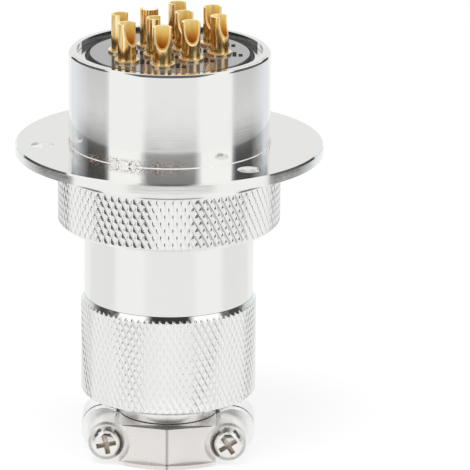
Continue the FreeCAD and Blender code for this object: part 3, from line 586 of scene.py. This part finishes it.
def gold():
    """Streaky gold outside, with painted shade browner down inside each cup, and a pale painted highlight on
    the cut edges and the collars.
    """
    material, nodes = new_material("contact_gold")
    point = surface_point(nodes)
    cloud = nodes.noise(nodes.stretched(point, (1, 1, 0.12)), 3000.0, 2.0)
    tint = nodes.ramp(cloud, GOLD_STREAKS)
    outside = nodes.add("ShaderNodeBsdfPrincipled", {
        "Base Color": tint, "Metallic": 1.0, "Roughness": 0.17,
        "Normal": bump(nodes, cloud, 0.12, 0.02 * MM),
    })
    z = split_point(nodes, point)[2]
    depth = nodes.math("DIVIDE", nodes.math("SUBTRACT", z, CUP_FLOOR * MM), (CUP_TOP - CUP_FLOOR) * MM)
    # Painted shade: browner and darker down inside the cup
    inside = nodes.add("ShaderNodeBsdfPrincipled", {
        "Base Color": nodes.ramp(depth, CUP_PAINTED_SHADE), "Metallic": 0.6, "Roughness": 0.38,
    })
    # Painted highlight: pale on the cups' cut edges and along the collars' outer edge
    edge = nodes.add("ShaderNodeBsdfPrincipled", {
        "Base Color": (0.98, 0.84, 0.58, 1), "Metallic": 0.7, "Roughness": 0.35,
    })
    reach = contact_reach(nodes, point)
    in_cup = nodes.math("GREATER_THAN", z, CUP_FOOT * MM)
    in_bore = nodes.math("MULTIPLY", in_cup, nodes.math("LESS_THAN", reach, CUP_RIM * MM))
    in_wall = between(nodes, reach, CUP_RIM * MM, (CUP_OUTSIDE - 2 * SEAM) * MM)
    # The painted highlight covers the cup walls above the foot and a band round each collar's outer edge
    collar = nodes.math(
        "MULTIPLY",
        between(nodes, z, COLLAR_HIGHLIGHT_FOOT * MM, COLLAR_HIGHLIGHT_TOP * MM),
        nodes.math("GREATER_THAN", reach, COLLAR_HIGHLIGHT_EDGE * MM),
    )
    highlight_share = nodes.math("MAXIMUM", nodes.math("MULTIPLY", in_cup, in_wall), collar)
    cup = nodes.mix_shaders(in_bore, outside, inside)
    finish_material(nodes, nodes.mix_shaders(highlight_share, cup, edge))
    return material


def clamp_metal(name, middle, ends, dark):
    """Satin metal with a fine even grain, with painted shade along the ridge and the upper edge in front.

    The block has its own colour in the middle and towards the ears, and the neck above is paler.
    """
    material, nodes = new_material(name)
    point = surface_point(nodes)
    grain = nodes.noise(point, 5200.0, 3.0, 0.6)
    cloud = nodes.noise(point, 300.0, 2.0)
    polish = nodes.ramp(cloud, [(0.3, 0.24), (0.7, 0.36)])
    x, y, z, _ = split_point(nodes, point)
    neck = nodes.math("GREATER_THAN", z, CLAMP_NECK_START * MM)
    polish = nodes.mix_colours(neck, polish, (*CLAMP_NECK_ROUGHNESS, 1))
    aside = nodes.math("ABSOLUTE", x)
    across = nodes.math("DIVIDE", aside, 2 * CLAMP_EAR_START * MM)
    plain = nodes.ramp(across, [(0.46, middle), (0.56, ends)])
    plain = nodes.mix_colours(neck, plain, (*CLAMP_NECK, 1))
    # Painted shade: dark lines down the front ridge and along the block's upper edge
    ridge_shade = nodes.math("SUBTRACT", 1.0, nodes.math("DIVIDE", aside, CLAMP_RIDGE_SHADE_WIDTH * MM), clamp=True)
    ridge_shade = nodes.math("MULTIPLY", ridge_shade, CLAMP_RIDGE_SHADE_SHARE)
    edge_shade = between(nodes, z, (CLAMP_BLOCK_TOP - CLAMP_EDGE_SHADE_WIDTH) * MM, CLAMP_EDGE_SHADE_TOP * MM)
    painted_shade = nodes.math("MAXIMUM", ridge_shade, edge_shade)
    painted_shade = nodes.math("MULTIPLY", painted_shade, nodes.math("LESS_THAN", y, CLAMP_SHADE_FRONT * MM))
    shader = nodes.add("ShaderNodeBsdfPrincipled", {
        "Base Color": nodes.mix_colours(painted_shade, plain, (*dark, 1)),
        "Metallic": 1.0,
        "Roughness": polish,
        "Normal": bump(nodes, grain, 0.25, 0.02 * MM),
    })
    finish_material(nodes, shader)
    return material


def moulded(name, dark, light, roughness, grain_scale, coat=0.0):
    """A dull or glossy solid colour with a fine speckle, for plastic, rubber, print and dull metal."""
    material, nodes = new_material(name)
    point = surface_point(nodes)
    speckle = nodes.noise(point, grain_scale, 4.0, 0.7)
    shader = nodes.add("ShaderNodeBsdfPrincipled", {
        "Base Color": nodes.ramp(speckle, [(0.35, dark), (0.65, light)]),
        "Roughness": roughness,
        "Coat Weight": coat,
        "Normal": bump(nodes, speckle, 0.2, 0.01 * MM),
    })
    finish_material(nodes, shader)
    return material


SHELL = shell_metal()
PLATED = turned_metal("plated_metal", roughness=0.12, line_strength=0.25)
BARREL = turned_metal("barrel_metal", roughness=0.14, line_strength=0.25, thread=BARREL_THREAD)
KNURLED = turned_metal("knurled_metal", roughness=0.09, line_strength=0.1)
# dark is the colour of the painted shade lines on the clamp's front
CLAMP = clamp_metal(
    "clamp_metal", middle=(0.77, 0.74, 0.715), ends=(0.9, 0.9, 0.89), dark=(0.16, 0.15, 0.14)
)
CLAMP_REAR = clamp_metal(
    "clamp_rear_metal", middle=(0.9, 0.9, 0.89), ends=(0.9, 0.9, 0.89), dark=(0.6, 0.6, 0.6)
)
SCREW = screw_metal()
GOLD = gold()
INSULATOR = moulded("dark_insulator", dark=0.08, light=0.13, roughness=0.12, grain_scale=5000, coat=1.0)
RUBBER = moulded("black_rubber", dark=0.02, light=0.04, roughness=0.6, grain_scale=3000)
MARK = moulded("printed_mark", dark=0.01, light=0.02, roughness=0.9, grain_scale=3000)
FILLET_METAL = moulded("fillet_metal", dark=0.62, light=0.74, roughness=0.4, grain_scale=3000)


def dress(node, material):
    """Give a carried-over CAD node its material."""
    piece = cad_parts[node]
    for slot in piece.material_slots:
        slot.link = "OBJECT"
        slot.material = material


def dress_all():
    looks = {
        "receptacle_shell": SHELL,
        "receptacle_locking_ring": PLATED,
        "plug_barrel": BARREL,
        "plug_locking_ring": PLATED,
        "coupling_nut": KNURLED,
        "backshell": KNURLED,
        "clamp_half_rear": CLAMP_REAR,
        "clamp_half_front": CLAMP,
        "clamp_screw_left": SCREW,
        "clamp_screw_right": SCREW,
        "receptacle_insulator": INSULATOR,
        "plug_insulator": INSULATOR,
        "receptacle_gland_ring": RUBBER,
        "mating_seal": RUBBER,
    }
    for number in range(1, CONTACTS + 1):
        looks[f"contact_pin_{number:02d}"] = GOLD
        looks[f"contact_socket_{number:02d}"] = GOLD
    for node, material in looks.items():
        dress(node, material)


# Knurled pieces

# Steps across a diamond, and the height over which the knurl deepens from its upper edge
KNURL_STEPS = 8
KNURL_RUN_OUT = 0.1
KNURL_SHARP_ANGLE = math.radians(14)
# Rows of corners keep at least this share of a step between them
LEAST_ROW_GAP = 0.2


def knurl_height(across, along, groove, cross):
    """Height of a raised diamond: 0 in the deep grooves, 1 on its flat top.

    The deep grooves fall to the right, and those that cross them are as deep as cross tells.
    """
    deep = abs(across - along - round(across - along))
    crossing = abs(across + along - round(across + along))
    return min(1.0, deep / groove, 1 - cross + crossing / groove)


def outline_radius(outline, z):
    """Radius of a turned outline at a height, from its (radius, height) corners listed downwards."""
    return level_at([(-below, radius) for radius, below in outline], -z)


def knurl_rows(outline, step):
    """Heights of the rows of corners, downwards, with the outline's own corners among them."""
    top = outline[0][1]
    bottom = outline[-1][1]
    heights = {z for _, z in outline}
    heights |= {top - step * number for number in range(1, int((top - bottom) / step) + 1)}
    rows = [top]
    for z in sorted(heights, reverse=True):
        if rows[-1] - z > step * LEAST_ROW_GAP:
            rows.append(z)
    rows[-1] = bottom
    return rows


def ring_faces(rings, columns, knurled):
    """Faces round a closed row of rings. The knurled ones are split along their more level diagonal."""
    relief = [radius for radii, _ in rings for radius in radii]
    faces = []
    for row in range(len(rings)):
        below = (row + 1) % len(rings)
        for column in range(columns):
            side = (column + 1) % columns
            a = row * columns + column
            b = row * columns + side
            c = below * columns + side
            d = below * columns + column
            if row >= knurled:
                faces.append((a, d, c, b))
            elif abs(relief[a] - relief[c]) < abs(relief[b] - relief[d]):
                faces += [(a, d, c), (a, c, b)]
            else:
                faces += [(a, d, b), (b, d, c)]
    return faces


def knurled_piece(name, node, outline, plain, diamonds, diamond_height, groove, depth, cross):
    """A turned ring whose outline, listed downwards, carries a diamond knurl.

    The plain corners close it round its bore. The diamonds are counted round the ring, and groove
    is half a groove's share of a diamond's width.
    """
    columns = diamonds * KNURL_STEPS
    top = outline[0][1]
    crest = max(radius for radius, _ in outline)
    rows = knurl_rows(outline, diamond_height / KNURL_STEPS)
    rings = []
    for z in rows:
        cut = depth * min(1.0, (top - z) / KNURL_RUN_OUT)
        limit = outline_radius(outline, z)
        along = (top - z) / diamond_height
        raised = [knurl_height(column / KNURL_STEPS, along, groove, cross) for column in range(columns)]
        rings.append(([min(limit, crest - cut * (1 - share)) for share in raised], z))
    rings += [([radius] * columns, z) for radius, z in plain]
    turns = [2 * math.pi * column / columns for column in range(columns)]
    points = [
        (radius * math.cos(turn), radius * math.sin(turn), z)
        for radii, z in rings for radius, turn in zip(radii, turns)
    ]
    piece = mesh_object(name, points, ring_faces(rings, columns, len(rows) - 1), KNURLED)
    mesh = piece.data
    mesh.validate()
    mesh.polygons.foreach_set("use_smooth", [True] * len(mesh.polygons))
    mesh.set_sharp_from_angle(angle=KNURL_SHARP_ANGLE)
    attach(piece, node)
    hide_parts(node)


def turned_extent(node):
    """Outer radius, bottom and top of a turned CAD node, in millimetres."""
    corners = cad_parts[node].bound_box
    radius = max(corner[0] for corner in corners)
    heights = [corner[2] for corner in corners]
    return radius / MM, min(heights) / MM, max(heights) / MM


def add_nut_knurl():
    """The coupling nut: a plain stepped band at its top, the knurl, and a lip that holds the barrel."""
    radius, bottom, top = turned_extent("coupling_nut")
    wall = 2.55
    lip_width = 1.3
    lip_thickness = 0.9
    band_height = 1.9
    band_step = 0.3
    edge = 0.5
    bore = radius - wall
    lip_bore = bore - lip_width
    lip_top = bottom + lip_thickness
    band = radius - band_step
    knurl_top = top - band_height
    knurled_piece(
        "nut_knurled", "coupling_nut",
        [(radius, knurl_top), (radius, bottom + edge), (radius - edge, bottom)],
        [
            (lip_bore, bottom), (lip_bore, lip_top), (bore, lip_top), (bore, top),
            (band - edge, top), (band, top - edge), (band, knurl_top),
        ],
        diamonds=87, diamond_height=2.15, groove=0.34, depth=0.22, cross=0.65,
    )


def add_backshell_knurl():
    """The backshell: a knurl from its top chamfer down, and a floor with a hole."""
    radius, bottom, top = turned_extent("backshell")
    top_edge = 0.46
    chamfer_height = 0.9
    end_edge = 0.4
    wall = 0.96
    floor_width = 2.3
    floor_thickness = 1.5
    bore = radius - wall
    hole = bore - floor_width
    floor_top = bottom + floor_thickness
    knurled_piece(
        "backshell_knurled", "backshell",
        [
            (radius - top_edge, top), (radius, top - chamfer_height),
            (radius, bottom + end_edge), (radius - end_edge, bottom),
        ],
        [(hole, bottom), (hole, floor_top), (bore, floor_top), (bore, top)],
        diamonds=78, diamond_height=2.0, groove=0.25, depth=0.12, cross=0.8,
    )


# The small fillet in the corner between shell and flange

FILLET = 0.1
FILLET_COLUMNS = 144
FILLET_STEPS = 4


def add_corner_fillet():
    turns = [2 * math.pi * column / FILLET_COLUMNS for column in range(FILLET_COLUMNS)]
    bends = [math.pi / 2 * number / FILLET_STEPS for number in range(FILLET_STEPS + 1)]
    profile = [
        (CORNER_RADIUS + FILLET * (1 - math.sin(bend)), FILLET * (1 - math.cos(bend))) for bend in bends
    ]
    points = [
        (radius * math.cos(turn), radius * math.sin(turn), z) for radius, z in profile for turn in turns
    ]
    faces = []
    for row in range(FILLET_STEPS):
        for column in range(FILLET_COLUMNS):
            first = row * FILLET_COLUMNS + column
            second = row * FILLET_COLUMNS + (column + 1) % FILLET_COLUMNS
            faces.append((first, second, second + FILLET_COLUMNS, first + FILLET_COLUMNS))
    fillet = mesh_object("corner_fillet", points, faces, FILLET_METAL)
    fillet.data.polygons.foreach_set("use_smooth", [True] * len(faces))
    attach(fillet, "receptacle")


# Generic dashes printed beside the contacts

MARK_LEVEL = 13.6
MARK_HEIGHT = 0.03
MARK_WIDTH = 0.6
# From a contact's middle to the near left corner of its marks
MARK_ASIDE = 2.45
MARK_NEARER = 1.6
# How far each dash is shifted to the right, and its length
MARK_DASHES = ((-0.5, 2.4), (0.4, 1.4))


def add_contact_marks():
    """One long and one short dash on the insulator beside each contact."""
    box = [(3, 2, 1, 0), (4, 5, 6, 7), (0, 1, 5, 4), (1, 2, 6, 5), (2, 3, 7, 6), (3, 0, 4, 7)]
    points = []
    faces = []
    for number in range(1, CONTACTS + 1):
        middle = node_middle(f"contact_pin_{number:02d}") / MM
        for shift, length in MARK_DASHES:
            x = middle.x + MARK_ASIDE + shift
            y = middle.y - MARK_NEARER
            faces += [[len(points) + corner for corner in face] for face in box]
            for z in (MARK_LEVEL, MARK_LEVEL + MARK_HEIGHT):
                points += [
                    (x, y, z), (x + MARK_WIDTH, y, z), (x + MARK_WIDTH, y + length, z), (x, y + length, z)
                ]
    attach(mesh_object("contact_marks", points, faces, MARK), "receptacle")


add_camera()
add_world()
add_floor()
for lamp_name, lamp_values in LAMPS.items():
    add_lamp(lamp_name, **lamp_values)
add_cards()
dress_all()
add_nut_knurl()
add_backshell_knurl()
add_corner_fillet()
add_contact_marks()

scene = bpy.context.scene
scene.view_settings.view_transform = "Standard"
bpy.context.view_layer.update()
